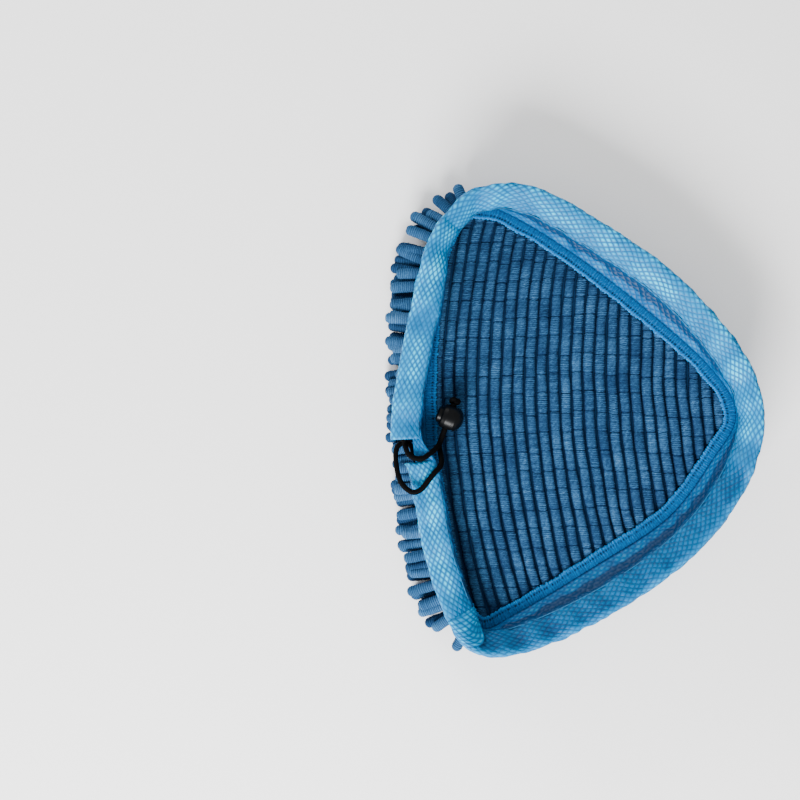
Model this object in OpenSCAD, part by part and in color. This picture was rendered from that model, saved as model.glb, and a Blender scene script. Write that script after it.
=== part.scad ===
// Drawstring chenille wash mitt, lying pocket upwards on its chenille fingers.
// The origin is the middle of the footprint, on the surface that the finger tips stand on.
// +Z points up out of the pocket, +Y towards the toe corner and +X towards the side corner.

/* [Pad] */
// Width of the chenille pad, from the straight side to the side corner
pad_width = 184; // [150:1:225]
// Length of the chenille pad, between its two end corners
pad_length = 251; // [205:1:305]
// Thickness of the knitted ground cloth
ground_thickness = 1.2; // [0.8:0.1:2]

/* [Chenille] */
// Distance from one chenille row to the next
row_pitch = 7; // [6.6:0.1:9]
// Width of the yarn strand that shows inside the pocket
strand_width = 6; // [4.5:0.1:6.2]
// Height of that strand above the ground cloth
strand_height = 4; // [3:0.1:6]
// Height of the strand where the edge seam squeezes it
pinched_height = 3.2; // [2.4:0.1:3.6]
// Diameter of a chenille finger
finger_diameter = 6.1; // [5:0.1:6.2]
// Height of a finger that stands upright under the pad
finger_length = 20; // [15:0.5:25]
// Extra length of the combed-out fingers at the edge
fringe_extra = 10; // [0:0.5:10]
// Distance between fingers along a row, near enough to fill it evenly
finger_pitch = 10; // [8.5:0.5:14]
// Diameter of the yarn where it passes through the ground cloth
neck_diameter = 3; // [2:0.1:4]
// Gap round the yarn in the ground cloth, on the radius
neck_clearance = 0.15; // [0.05:0.05:0.4]

/* [Skirt] */
// Width of the overlocked edge seam
seam_width = 6; // [4:0.5:8]
// Thickness of the overlocked edge seam
seam_thickness = 2; // [1.2:0.1:3]
// Thickness of the twill skirt
skirt_thickness = 1.2; // [0.8:0.1:2]
// Width of the drawstring casing laid flat
casing_width = 19; // [15:0.5:23]
// Height of the drawstring casing across its flat
casing_height = 7; // [6.4:0.1:9]
// Thickness of the cloth round the channel
casing_cloth = 1.3; // [1:0.1:1.5]
// Diameter of the stitching thread
thread_diameter = 0.8; // [0.5:0.1:1.2]

/* [Drawstring] */
// Diameter of the braided elastic drawstring
cord_diameter = 3.2; // [2.6:0.1:3.6]
// How far the drawstring lies from the middle of its channel
cord_offset = 2.5; // [0:0.5:4]

/* [Cord lock] */
// Largest diameter of the lock's barrel
barrel_diameter = 15.6; // [14:0.1:19]
// Length of the barrel, from its open end to the top of its dome
barrel_length = 13.6; // [12.6:0.1:17]
// Diameter of the plunger
plunger_diameter = 9.6; // [8.8:0.1:10.6]
// Gap between plunger and barrel, on the radius
plunger_clearance = 0.15; // [0.05:0.05:0.3]
// How far the plunger can be pressed
plunger_travel = 2.6; // [2:0.1:3]
// How far the lock can slide along the drawstring towards the casing
lock_travel = 8; // [4:0.5:9]
// Gap round the two strands in the lock
strand_clearance = 0.1; // [0.05:0.05:0.3]
// Wire of the plunger's spring
spring_wire = 0.4; // [0.3:0.05:0.5]

/* [Hidden] */
// Stations round the pad edge, clockwise from the toe corner: edge x and y at the nominal size,
// how far the mouth reaches beyond the edge, lean of the casing in degrees, height of its inner edge.
stations = [
    [-70, 120.5, 5.5, 50, 33], [-55, 125.5, 10, 45, 34], [-34, 117.5, 19.5, 30, 35],
    [0.5, 95.5, 23, 25, 36], [41.5, 64, 25, 25, 36], [80.5, 28.5, 18.5, 32, 35],
    [95, 1.5, 12, 52, 33], [81, -25, 22, 30, 35], [54, -60, 24, 25, 36],
    [11, -88.5, 27, 22, 36], [-34, -115.5, 22, 28, 35], [-55.5, -125.5, 13, 45, 35],
    [-68, -112.5, 11, 25, 38], [-78, -78.5, 13, 0, 40], [-86.5, -30, 14, 0, 40],
    [-88.5, -9, 22, 0, 40], [-89, 24, 18, 0, 40], [-87, 61, 12.5, 0, 40],
    [-81.5, 98, 8.5, 45, 36]
];
nominal_width = 184;
nominal_length = 251;
casing_start = 14.88; // station where the casing starts above the exit gap
casing_end = 33.17; // station where it ends below the gap, one lap on
outline_steps = 76; // points round the pad edge
casing_steps = 73; // rings along the casing
round_sides = 12; // sides of the casing's oval
cord_sides = 8; // sides of a drawstring tube
edge_scale = [pad_width / nominal_width, pad_length / nominal_length];

// Chenille rows bow to follow the straight side of the pad
row_bow = 0.00115;
bow_middle = [15, 44]; // where along the pad the first row and the last row turn
widest_at = [20, 2]; // a place well inside the first row and the last row
beyond = pad_length / 2 + 5; // a distance along the pad that is past every row
first_row = -82.8 * edge_scale.x;
row_count = floor((87 * edge_scale.x - first_row) / row_pitch) + 1;
root_margin = neck_diameter / 2 + 1.5; // least distance from a finger's neck to the pad edge
end_margin = neck_diameter / 2 + 0.5; // from a strand's end to its first neck
strand_margin = 1.4; // from a strand's end to the pad edge
lip_gap = 0.1; // between the seam and the squeezed strands
cloth_gap = 0.05; // between cloths that are sewn together
foot_gap = 1; // from the pad edge to the foot of the skirt

ground_bottom = finger_length;
ground_top = ground_bottom + ground_thickness;
strand_top = ground_top + strand_height;
lip_bottom = ground_top + pinched_height + lip_gap;
lip_top = lip_bottom + seam_thickness;
root_height = ground_bottom - finger_diameter / 2 - 0.1;

// The drawstring leaves the casing at this point of the straight side
exit_gap = [-89 * edge_scale.x, -18.5 * edge_scale.y];
lock_turn = -20; // the lock lies turned this much on the pad
lock_gap = [0.5, 0.3]; // from the barrel to the seam's inner edge, and to the strands under it
lock_at = [exit_gap.x + seam_width + lock_gap[0] + barrel_diameter / 2, exit_gap.y + 18.3,
    strand_top + lock_gap[1] + barrel_diameter / 2];
strand_spacing = cord_diameter + 0.2; // the two strands lie one above the other in the lock
slot_width = cord_diameter + plunger_travel + 2 * strand_clearance;
slot_height = strand_spacing + cord_diameter + 4 * strand_clearance;
strand_x = (cord_diameter - slot_width) / 2 + strand_clearance; // strands' place along the lock
knot_diameter = 7.6;
knot_length = 4.6;
knot_gap = 0.6; // from the lock to the knot
dome_length = 7.6; // from the lock's middle to the top of the dome
dome_wall = 2;
barrel_back = barrel_length - dome_length; // from the lock's middle to the barrel's open end
spring_seat = dome_length - dome_wall; // bottom of the barrel's bore
plunger_nose = 1.2; // wall of the plunger past its slot
plunger_front = slot_width / 2 - plunger_travel + plunger_nose;
button_clearance = 0.2; // left of the plunger outside the barrel when it is pressed
button_stand = plunger_travel + button_clearance;
coil_radius = 3.2;
hem_width = 2.5; // from the casing's inner edge to its stitching
stitch_height = 0.36; // of the casing's height, so that the thread is half sunk in the cloth
knee_rise = 0.5; // where the skirt turns outwards above the seam
seam_leg = 1.8; // thickness of the seam's leg beside the strands' ends

// Free strands from the casing to the lock, as distances from the exit gap, and heights
upper_route = [
    [-13.87, 5.81, 40], [-13.13, 2.9, 40.2], [-11.5, -2, 43], [-7.5, -5, 44.4], [-2.5, -5, 44.4],
    [2, -2, 42], [5.8, 1.2, 38.2]
];
lower_route = [
    [-6.33, -7.41, 40], [-7.95, -3.75, 39.8], [-9.3, 1.6, 37.5], [-13, 4, 36.4], [-17, 2, 37],
    [-18.5, -2.5, 38], [-18, -10.5, 40.5], [-16, -18, 43.5], [-12, -23, 45.5], [-7.5, -24.8, 46],
    [-3, -22.5, 46], [0.5, -18, 45.8], [4.2, -13.5, 45], [8, -9, 42], [8, -3.5, 37.5],
    [7.3, 1, 32.6]
];

function row_name(k) = str("chenille_row_", k < 9 ? "0" : "", k + 1);

// Smooth curve through four values, at t between the middle two
function blend(a, b, c, d, t) =
    (2 * b + (c - a) * t + (2 * a - 5 * b + 4 * c - d) * t * t + (3 * b - a - 3 * c + d) * t * t * t) / 2;
function wrapped(list, i) = list[(i + 2 * len(list)) % len(list)];
function station(s) = let (i = floor(s), t = s - i)
    blend(wrapped(stations, i - 1), wrapped(stations, i), wrapped(stations, i + 1),
        wrapped(stations, i + 2), t);
function edge_point(s) = let (p = station(s)) [p.x * edge_scale.x, p.y * edge_scale.y];
function unit(v) = v / norm(v);
function edge_normal(s) = let (t = unit(edge_point(s + 0.1) - edge_point(s - 0.1))) [-t.y, t.x];

// Point beside the pad edge: u outwards from the edge, at height z
function beside(s, u, z) = let (p = edge_point(s) + u * edge_normal(s)) [p.x, p.y, z];

// Pad edge as points with outward normals, and the distance of a point inside it
edge = [for (i = [0:outline_steps - 1]) let (s = i * len(stations) / outline_steps)
    [edge_point(s), edge_normal(s)]];
function depths(p) = [for (e = edge) (e[0] - p) * e[1]];
function depth(p) = min(depths(p));
function outward(p) = let (d = depths(p), m = min(d)) edge[search(m, d)[0]][1];
function inset_outline(inset) = [for (e = edge) e[0] - inset * e[1]];

// Middle line of chenille row k at distance y along the pad
function row_x(k, y) = let (f = k / (row_count - 1), m = bow_middle[0] + f * (bow_middle[1] - bow_middle[0]))
    first_row + k * row_pitch + row_bow * pow(y - m * edge_scale.y, 2);
function strand_depth(k, y) = min(depth([row_x(k, y) - strand_width / 2, y]),
    depth([row_x(k, y) + strand_width / 2, y]));
// End of a strand that keeps the margin to the pad edge, searched between y inside and y outside
function strand_end(k, inside, outside, margin, tries = 12) = tries == 0 ? inside :
    let (m = (inside + outside) / 2) strand_depth(k, m) > margin
        ? strand_end(k, m, outside, margin, tries - 1) : strand_end(k, inside, m, margin, tries - 1);
function row_middle(k) = let (f = k / (row_count - 1))
    (widest_at[0] + f * (widest_at[1] - widest_at[0])) * edge_scale.y;

function finger_places(k) = let (
    low = strand_end(k, row_middle(k), -beyond, strand_margin) + end_margin,
    high = strand_end(k, row_middle(k), beyond, strand_margin) - end_margin,
    count = round((high - low) / finger_pitch))
    [for (j = [0:count]) let (y = low + (high - low) * j / count, x = row_x(k, y))
        if (depth([x, y]) > root_margin) [x, y]];

// Lean of a finger rooted d inside the edge: combed flat at the edge, upright well inside.
// Its length lets the tip stand on the surface, up to the longest fringe.
combed = [6.5, 19, 76]; // flat up to this depth, upright past this one, and the flat lean
function finger_lean(d) = combed[2] * pow(min(1, max(0, (combed[1] - d) / (combed[1] - combed[0]))), 1.5);
finger_core = finger_length - finger_diameter - 0.1;
function finger_reach(lean) = finger_diameter + min(finger_core / cos(lean), finger_core + fringe_extra);

module strand(k, margin, height) {
    low = strand_end(k, row_middle(k), -beyond, margin);
    high = strand_end(k, row_middle(k), beyond, margin);
    steps = 12;
    ys = [for (i = [0:steps]) low + (high - low) * i / steps];
    band = concat([for (y = ys) [row_x(k, y) - strand_width / 2, y]],
        [for (i = [steps:-1:0]) [row_x(k, ys[i]) + strand_width / 2, ys[i]]]);
    if (strand_depth(k, row_middle(k)) > margin)
        translate([0, 0, ground_top]) linear_extrude(height) polygon(band);
}

// Finger with rounded ends, hanging down from its root at the origin
module finger(length) {
    r = finger_diameter / 2;
    rotate_extrude($fn = 48) polygon(concat([[0, r]],
        [for (a = [45, 0]) r * [cos(a), sin(a)]],
        [for (a = [0, -45]) [r * cos(a), r * sin(a) - length + 2 * r]],
        [[0, r - length]]));
}

module chenille_row(k) {
    color("steelblue") {
        strand(k, strand_margin, pinched_height);
        strand(k, seam_width + lip_gap, strand_height);
        for (p = finger_places(k)) {
            n = outward(p);
            lean = finger_lean(depth(p));
            translate([p.x, p.y, root_height]) {
                cylinder(h = ground_top + 1 - root_height, d = neck_diameter, $fn = 32);
                rotate([0, 0, atan2(n.y, n.x)]) rotate([0, -lean, 0]) finger(finger_reach(lean));
            }
        }
    }
}

module ground_cloth() {
    color("midnightblue") translate([0, 0, ground_bottom]) linear_extrude(ground_thickness) difference() {
        polygon(inset_outline(-foot_gap));
        for (k = [0:row_count - 1], p = finger_places(k))
            translate(p) circle(d = neck_diameter + 2 * neck_clearance, $fn = 32);
    }
}

// Solid through a list of rings; a closed one returns to its first ring
module loft(rings, closed = false) {
    n = len(rings);
    m = len(rings[0]);
    spans = closed ? n : n - 1;
    sides = [for (i = [0:spans - 1], j = [0:m - 1]) let (a = i * m + j, b = i * m + (j + 1) % m,
        c = (i + 1) % n * m + j, d = (i + 1) % n * m + (j + 1) % m) each [[a, b, d], [a, d, c]]];
    caps = closed ? [] : [for (j = [1:m - 2]) each [[0, j + 1, j], [(n - 1) * m, (n - 1) * m + j,
        (n - 1) * m + j + 1]]];
    polyhedron([for (r = rings) each r], concat(sides, caps), convexity = 10);
}

// The same with a channel along it, whose rings have as many points as the outer ones
module hollow_loft(outer, inner) {
    n = len(outer);
    m = len(outer[0]);
    o = n * m;
    last = (n - 1) * m;
    walls = [for (i = [0:n - 2], j = [0:m - 1]) let (a = i * m + j, b = i * m + (j + 1) % m) each [
        [a, b, b + m], [a, b + m, a + m], [o + a, o + b + m, o + b], [o + a, o + a + m, o + b + m]]];
    ends = [for (j = [0:m - 1]) let (b = (j + 1) % m) each [
        [j, o + b, b], [j, o + j, o + b],
        [last + j, last + b, last + o + b], [last + j, last + o + b, last + o + j]]];
    polyhedron([for (r = outer) each r, for (r = inner) each r], concat(walls, ends), convexity = 10);
}

// Ring of points beside the pad edge from a profile of [u, z] pairs
function edge_ring(s, profile) = [for (p = profile) beside(s, p[0], p[1])];
lap = [for (i = [0:outline_steps - 1]) i * len(stations) / outline_steps];

module overlock_seam() {
    leg = foot_gap - seam_leg;
    profile = [[foot_gap, ground_top], [leg, ground_top], [leg, lip_bottom],
        [-seam_width, lip_bottom], [-seam_width, lip_top], [foot_gap, lip_top]];
    color("dodgerblue") loft([for (s = lap) edge_ring(s, profile)], closed = true);
}

// Point of the casing's oval: a and b are its half sizes, from the middle of the casing
function casing_point(s, along, across) = let (p = station(s), lean = p[3],
    out = p[2] - casing_width / 2 * cos(lean) + along * cos(lean) - across * sin(lean),
    up = p[4] + casing_width / 2 * sin(lean) + along * sin(lean) + across * cos(lean)) beside(s, out, up);
function casing_ring(s, a, b) = [for (j = [0:round_sides - 1]) let (t = 360 * j / round_sides)
    casing_point(s, a * cos(t), b * sin(t))];

module skirt() {
    // The skirt meets the casing's underside a little way in from its inner edge
    seat = casing_width / 2 - hem_width;
    under = casing_height / 2 * sqrt(1 - pow(seat / (casing_width / 2), 2)) + cloth_gap + 0.2;
    rings = [for (s = lap) let (top = casing_point(s, -seat, -under),
        foot = beside(s, foot_gap, ground_top), knee = beside(s, foot_gap, lip_top + knee_rise),
        side = edge_normal(s) * skirt_thickness, out = [side.x, side.y, 0]) [
        foot, knee, top, top + out, knee + out, foot + out]];
    color("deepskyblue") loft(rings, closed = true);
}

along_casing = [for (i = [0:casing_steps]) casing_start + (casing_end - casing_start) * i / casing_steps];

module drawstring_casing() {
    a = casing_width / 2;
    b = casing_height / 2;
    color("deepskyblue") hollow_loft([for (s = along_casing) casing_ring(s, a, b)],
        [for (s = along_casing) casing_ring(s, a - casing_cloth, b - casing_cloth)]);
}

// Tube along a list of points; each ring stands square to the path
module tube(path, diameter, start, finish) {
    n = len(path);
    rings = [for (i = [0:n - 1]) let (
        t = i == 0 ? start : i == n - 1 ? finish : unit(path[i + 1] - path[i - 1]),
        side = unit(cross(t, [0, 0, 1])), up = cross(side, t))
        [for (j = [0:cord_sides - 1]) let (w = 360 * (j + 0.5) / cord_sides)
            path[i] + diameter / 2 * (side * cos(w) + up * sin(w))]];
    loft(rings);
}

module casing_stitching() {
    stitch_line = hem_width - casing_width / 2;
    path = [for (s = along_casing) casing_point(s, stitch_line, casing_height * stitch_height)];
    inner = [for (i = [1:casing_steps - 1]) path[i]];
    color("royalblue") tube(inner, thread_diameter, unit(inner[1] - inner[0]),
        unit(inner[casing_steps - 2] - inner[casing_steps - 3]));
}

module drawstring() {
    path = [for (s = along_casing) casing_point(s, cord_offset, 0)];
    color("black") tube(path, cord_diameter, unit(path[1] - path[0]),
        unit(path[casing_steps] - path[casing_steps - 1]));
}

// Place along the lock, turned with it: x along the plunger, y along the strands
function in_lock(x, y, z) = [lock_at.x + x * cos(lock_turn) - y * sin(lock_turn),
    lock_at.y + x * sin(lock_turn) + y * cos(lock_turn), lock_at.z + z];

module free_strand(route, level) {
    from_exit = [for (p = route) [exit_gap.x + p[0], exit_gap.y + p[1], p[2]]];
    straight = [for (y = [-barrel_diameter / 2 - lock_travel, -barrel_diameter / 2, 0,
        barrel_diameter / 2 + knot_gap]) in_lock(strand_x, y, level * strand_spacing / 2)];
    points = concat(from_exit, straight);
    n = len(points);
    smooth = [for (i = [0:n - 2], t = [0, 0.5]) blend(points[max(i - 1, 0)], points[i], points[i + 1],
        points[min(i + 2, n - 1)], t)];
    path = concat(smooth, [points[n - 1]]);
    tube(path, cord_diameter, unit(path[1] - path[0]), unit(points[n - 1] - points[n - 2]));
}

module drawstring_upper_end() {
    color("black") free_strand(upper_route, 1);
}

module drawstring_lower_end() {
    color("black") free_strand(lower_route, -1);
}

module end_knot() {
    r = knot_diameter / 2;
    color("black") translate(in_lock(strand_x, barrel_diameter / 2 + knot_gap, 0))
        rotate([0, 0, lock_turn]) rotate([-90, 0, 0]) rotate_extrude($fn = 64) polygon([[0, 0],
            [r - 1.2, 0], [r, 1.4], [r, knot_length - 1.6], [r - 1.6, knot_length], [0, knot_length]]);
}

// Everything in the lock is drawn with its axis along X
module in_lock_frame() {
    translate(lock_at) rotate([0, 0, lock_turn]) children();
}

module lock_barrel() {
    bore_diameter = plunger_diameter + 2 * plunger_clearance;
    r = barrel_diameter / 2;
    front = barrel_length - barrel_back;
    dome = [for (a = [0:15:90]) [r * cos(a), front - r * 0.9 + r * 0.9 * sin(a)]];
    outline = concat([[0, -barrel_back], [r - 1.8, -barrel_back], [r - 0.9, 0.8 - barrel_back],
        [r - 0.3, -barrel_back / 2]], dome);
    color("black") in_lock_frame() difference() {
        rotate([0, 90, 0]) rotate_extrude($fn = 96) polygon(outline);
        translate([-barrel_back - 1, 0, 0]) rotate([0, 90, 0])
            cylinder(h = barrel_back + 1 + spring_seat, d = bore_diameter, $fn = 96);
        cube([slot_width, barrel_diameter + 2, slot_height], center = true);
    }
}

module lock_plunger() {
    back = barrel_back + button_stand;
    color("black") in_lock_frame() difference() {
        translate([-back, 0, 0]) rotate([0, 90, 0]) rotate_extrude($fn = 96) polygon([
            [0, 0], [plunger_diameter / 2 - 1.4, 0], [plunger_diameter / 2, 0.9],
            [plunger_diameter / 2, back + plunger_front], [0, back + plunger_front]]);
        translate([-plunger_travel, 0, 0])
            cube([slot_width, barrel_diameter, slot_height], center = true);
    }
}

module lock_spring() {
    turns = 2.5;
    steps = 40;
    low = plunger_front + spring_wire / 2 + 0.05;
    high = spring_seat - spring_wire / 2 - 0.05;
    path = [for (i = [0:steps]) let (w = 360 * turns * i / steps)
        [low + (high - low) * i / steps, coil_radius * cos(w), coil_radius * sin(w)]];
    rings = [for (i = [0:steps]) let (p = path[i], out = [0, p.y, p.z] / coil_radius)
        [for (j = [0:5]) p + spring_wire / 2 * (out * cos(60 * j) + [1, 0, 0] * sin(60 * j))]];
    color("silver") in_lock_frame() loft(rings);
}

for (k = [0:row_count - 1]) chenille_row(k);
ground_cloth();
overlock_seam();
skirt();
drawstring_casing();
casing_stitching();
drawstring();
drawstring_upper_end();
drawstring_lower_end();
end_knot();
lock_barrel();
lock_plunger();
lock_spring();
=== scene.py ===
import math

import bpy
import numpy as np
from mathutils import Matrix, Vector


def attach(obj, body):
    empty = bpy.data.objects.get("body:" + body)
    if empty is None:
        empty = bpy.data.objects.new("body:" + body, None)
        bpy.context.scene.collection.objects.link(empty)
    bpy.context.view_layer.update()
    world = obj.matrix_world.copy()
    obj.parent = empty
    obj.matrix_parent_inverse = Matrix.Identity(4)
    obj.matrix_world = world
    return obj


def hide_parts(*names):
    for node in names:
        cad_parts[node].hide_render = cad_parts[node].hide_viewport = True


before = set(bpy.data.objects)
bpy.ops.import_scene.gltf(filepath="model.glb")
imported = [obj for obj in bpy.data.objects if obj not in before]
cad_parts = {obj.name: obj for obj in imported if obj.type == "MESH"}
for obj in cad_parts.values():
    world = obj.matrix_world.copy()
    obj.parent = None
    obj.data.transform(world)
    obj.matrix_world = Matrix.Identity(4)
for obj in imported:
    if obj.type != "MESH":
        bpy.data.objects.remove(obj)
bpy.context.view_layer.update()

# Drawstring chenille wash mitt, lying pocket upwards on its fingers.
# Lengths below are in millimetres and are turned to metres when a mesh is made.
mm = 0.001
draws = np.random.default_rng(11)

# The part's own sizes, as its CAD source has them
pad = {
    "groundBottom": 20,
    "groundTop": 21.2,
    "edgeClearance": 1,
    "rowCount": 25,
    "rowPitch": 7,
    "firstRow": -82.8,
    "bow": 0.00115,
    "bowMiddle": (15, 44),
    "halfLength": 125.5,
    "seamWidth": 6,
    "lipTop": 26.5,
    "strandMargin": 1.4,
    "rootMargin": 3,
}
# Stations round the pad edge, clockwise from the toe corner: edge x and y, reach of the mouth
# beyond the edge, lean of the casing in degrees, height of the casing's inner edge
stations = np.array([
    [-70, 120.5, 5.5, 50, 33], [-55, 125.5, 10, 45, 34], [-34, 117.5, 19.5, 30, 35],
    [0.5, 95.5, 23, 25, 36], [41.5, 64, 25, 25, 36], [80.5, 28.5, 18.5, 32, 35],
    [95, 1.5, 12, 52, 33], [81, -25, 22, 30, 35], [54, -60, 24, 25, 36],
    [11, -88.5, 27, 22, 36], [-34, -115.5, 22, 28, 35], [-55.5, -125.5, 13, 45, 35],
    [-68, -112.5, 11, 25, 38], [-78, -78.5, 13, 0, 40], [-86.5, -30, 14, 0, 40],
    [-88.5, -9, 22, 0, 40], [-89, 24, 18, 0, 40], [-87, 61, 12.5, 0, 40],
    [-81.5, 98, 8.5, 45, 36],
], float)


def catmullRom(a, b, c, d, t):
    return (2 * b + (c - a) * t + (2 * a - 5 * b + 4 * c - d) * t**2 + (3 * b - a - 3 * c + d) * t**3) / 2


def stationAt(s):
    s = np.atleast_1d(np.asarray(s, float))
    i = np.floor(s).astype(int)
    around = [stations[(i + k) % len(stations)] for k in (-1, 0, 1, 2)]
    return catmullRom(*around, (s - i)[:, None])


def unit(v):
    return v / np.linalg.norm(v, axis=-1, keepdims=True)


def edgeNormal(s):
    tangent = unit(stationAt(np.asarray(s) + 0.1)[:, :2] - stationAt(np.asarray(s) - 0.1)[:, :2])
    return np.stack([-tangent[:, 1], tangent[:, 0]], axis=1)


def beside(s, out, height):
    # Points beside the pad edge: out from the edge at a height
    place = stationAt(s)[:, :2] + np.asarray(out, float).reshape(-1, 1) * edgeNormal(s)
    return np.column_stack([place, np.broadcast_to(height, len(place))])


lap = np.arange(76) * len(stations) / 76
edgePoints = stationAt(lap)[:, :2]
edgeNormals = edgeNormal(lap)


def depths(p):
    return np.sum((edgePoints - p) * edgeNormals, axis=1)


def rowX(k, y):
    f = k / (pad["rowCount"] - 1)
    middle = pad["bowMiddle"][0] + f * (pad["bowMiddle"][1] - pad["bowMiddle"][0])
    return pad["firstRow"] + k * pad["rowPitch"] + pad["bow"] * (y - middle) ** 2


def rowMiddle(k):
    return 20 - 18 * k / (pad["rowCount"] - 1)


def strandDepth(k, y):
    return min(depths(np.array([rowX(k, y) + side, y])).min() for side in (-3, 3))


def strandEnd(k, outside, margin):
    inside = rowMiddle(k)
    for _ in range(14):
        between = (inside + outside) / 2
        if strandDepth(k, between) > margin:
            inside = between
        else:
            outside = between
    return inside


def ripple(u, v, scale, seed, count=7):
    # Smooth unevenness from -1 to 1 over a surface measured in millimetres
    own = np.random.default_rng(seed)
    total = 0
    for _ in range(count):
        angle, phase = own.uniform(0, 2 * math.pi, 2)
        wave = own.uniform(0.6, 1.6) * 2 * math.pi / scale
        total = total + np.sin(wave * (u * math.cos(angle) + v * math.sin(angle)) + phase)
    return total / math.sqrt(2 * count)


def smoothStep(x):
    x = np.clip(x, 0, 1)
    return x * x * (3 - 2 * x)


def gridPart(points, around=False, along=False, uv=None, tone=None, startTip=False, endTip=False):
    # One sheet or tube of quads, rows x columns x 3: around closes the columns and along the rows
    rows, columns = points.shape[:2]
    i = np.arange(rows if along else rows - 1)
    j = np.arange(columns if around else columns - 1)
    i, j = (a.ravel() for a in np.meshgrid(i, j, indexing="ij"))
    a, b = i * columns + j, i * columns + (j + 1) % columns
    c, d = (i + 1) % rows * columns + (j + 1) % columns, (i + 1) % rows * columns + j
    faces = np.stack([a, b, c, d], axis=1).tolist()
    corners = None
    if uv is not None:
        corners = np.stack([uv[i, j], uv[i, j + 1], uv[i + 1, j + 1], uv[i + 1, j]], axis=1).reshape(-1, 2)
    vertices = points.reshape(-1, 3)
    tones = np.zeros(len(vertices)) if tone is None else np.broadcast_to(tone, points.shape[:2]).ravel()
    for wanted, ring, turned in ((startTip, 0, True), (endTip, rows - 1, False)):
        if wanted:
            ids = (ring * columns + np.arange(columns)).tolist()
            centre = len(vertices)
            vertices = np.vstack([vertices, points[ring].mean(axis=0)])
            tones = np.append(tones, tones[ids[0]])
            pairs = list(zip(ids, ids[1:] + ids[:1]))
            faces += [[q, p, centre] if turned else [p, q, centre] for p, q in pairs]
            if corners is not None:
                corners = np.vstack([corners, np.tile(corners[0], (3 * columns, 1))])
    return vertices, faces, corners, tones


def makePiece(name, parts, material, body, replaces=()):
    vertices, faces, corners, tones, start = [], [], [], [], 0
    for partVertices, partFaces, partCorners, partTones in parts:
        vertices.append(partVertices)
        tones.append(partTones)
        faces += [[start + i for i in face] for face in partFaces] if start else partFaces
        if partCorners is not None:
            corners.append(partCorners)
        start += len(partVertices)
    mesh = bpy.data.meshes.new(name)
    mesh.from_pydata((np.vstack(vertices) * mm).tolist(), [], faces)
    if corners:
        mesh.uv_layers.new(name="cloth").data.foreach_set("uv", np.vstack(corners).ravel())
    mesh.attributes.new("tone", "FLOAT", "POINT").data.foreach_set("value", np.concatenate(tones))
    mesh.polygons.foreach_set("use_smooth", [True] * len(mesh.polygons))
    mesh.update()
    piece = bpy.data.objects.new(name, mesh)
    bpy.context.scene.collection.objects.link(piece)
    piece.data.materials.append(material)
    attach(piece, body)
    if replaces:
        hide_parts(*replaces)
    return piece


def frames(path):
    # Tangent and two sides along a path, carried on without twist
    tangent = unit(np.gradient(path, axis=0))
    side = np.zeros_like(path)
    reference = np.array([0.0, 0.0, 1.0]) if abs(tangent[0][2]) < 0.9 else np.array([1.0, 0.0, 0.0])
    side[0] = unit(np.cross(tangent[0], reference))
    for i in range(1, len(path)):
        carried = side[i - 1] - tangent[i] * np.dot(side[i - 1], tangent[i])
        side[i] = carried / np.linalg.norm(carried)
    return tangent, side, np.cross(tangent, side)


def tubePoints(path, radii, sides, turn=0.0):
    # Rings round a path; radii is one per ring, or rings x sides
    _, side, up = frames(path)
    angle = turn + 2 * math.pi * np.arange(sides) / sides
    radii = np.asarray(radii, float)
    if radii.ndim < 2:
        radii = radii.reshape(-1, 1)
    radii = np.broadcast_to(radii, (len(path), sides))
    ring = np.cos(angle)[None, :, None] * side[:, None] + np.sin(angle)[None, :, None] * up[:, None]
    return path[:, None] + radii[:, :, None] * ring


def lengthAlong(path):
    return np.concatenate([[0], np.cumsum(np.linalg.norm(np.diff(path, axis=0), axis=1))])


def resample(path, step):
    at = lengthAlong(path)
    count = max(2, int(round(at[-1] / step)) + 1)
    wanted = np.linspace(0, at[-1], count)
    return np.column_stack([np.interp(wanted, at, path[:, i]) for i in range(3)])


def linearColour(hexColour):
    channels = [int(hexColour[i:i + 2], 16) / 255 for i in (1, 3, 5)]
    return [c / 12.92 if c <= 0.04045 else ((c + 0.055) / 1.055) ** 2.4 for c in channels] + [1.0]


def addNode(tree, kind, settings=None, links=None):
    node = tree.nodes.new(kind)
    for name, value in (settings or {}).items():
        if isinstance(name, int) or name in node.inputs:
            node.inputs[name].default_value = value
        else:
            setattr(node, name, value)
    for name, socket in (links or {}).items():
        tree.links.new(socket, node.inputs[name])
    return node


def newMaterial(name):
    material = bpy.data.materials.new(name)
    material.use_nodes = True
    tree = material.node_tree
    tree.nodes.clear()
    return material, tree


def finishMaterial(tree, colour, bump, settings):
    shader = addNode(tree, "ShaderNodeBsdfPrincipled", settings, {"Base Color": colour, "Normal": bump})
    addNode(tree, "ShaderNodeOutputMaterial", links={"Surface": shader.outputs["BSDF"]})


def colourRamp(tree, factor, stops):
    ramp = addNode(tree, "ShaderNodeValToRGB", links={"Fac": factor})
    elements = ramp.color_ramp.elements
    while len(elements) < len(stops):
        elements.new(0.5)
    for element, (position, hexColour) in zip(elements, stops):
        element.position = position
        element.color = linearColour(hexColour)
    return ramp.outputs["Color"]


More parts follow.
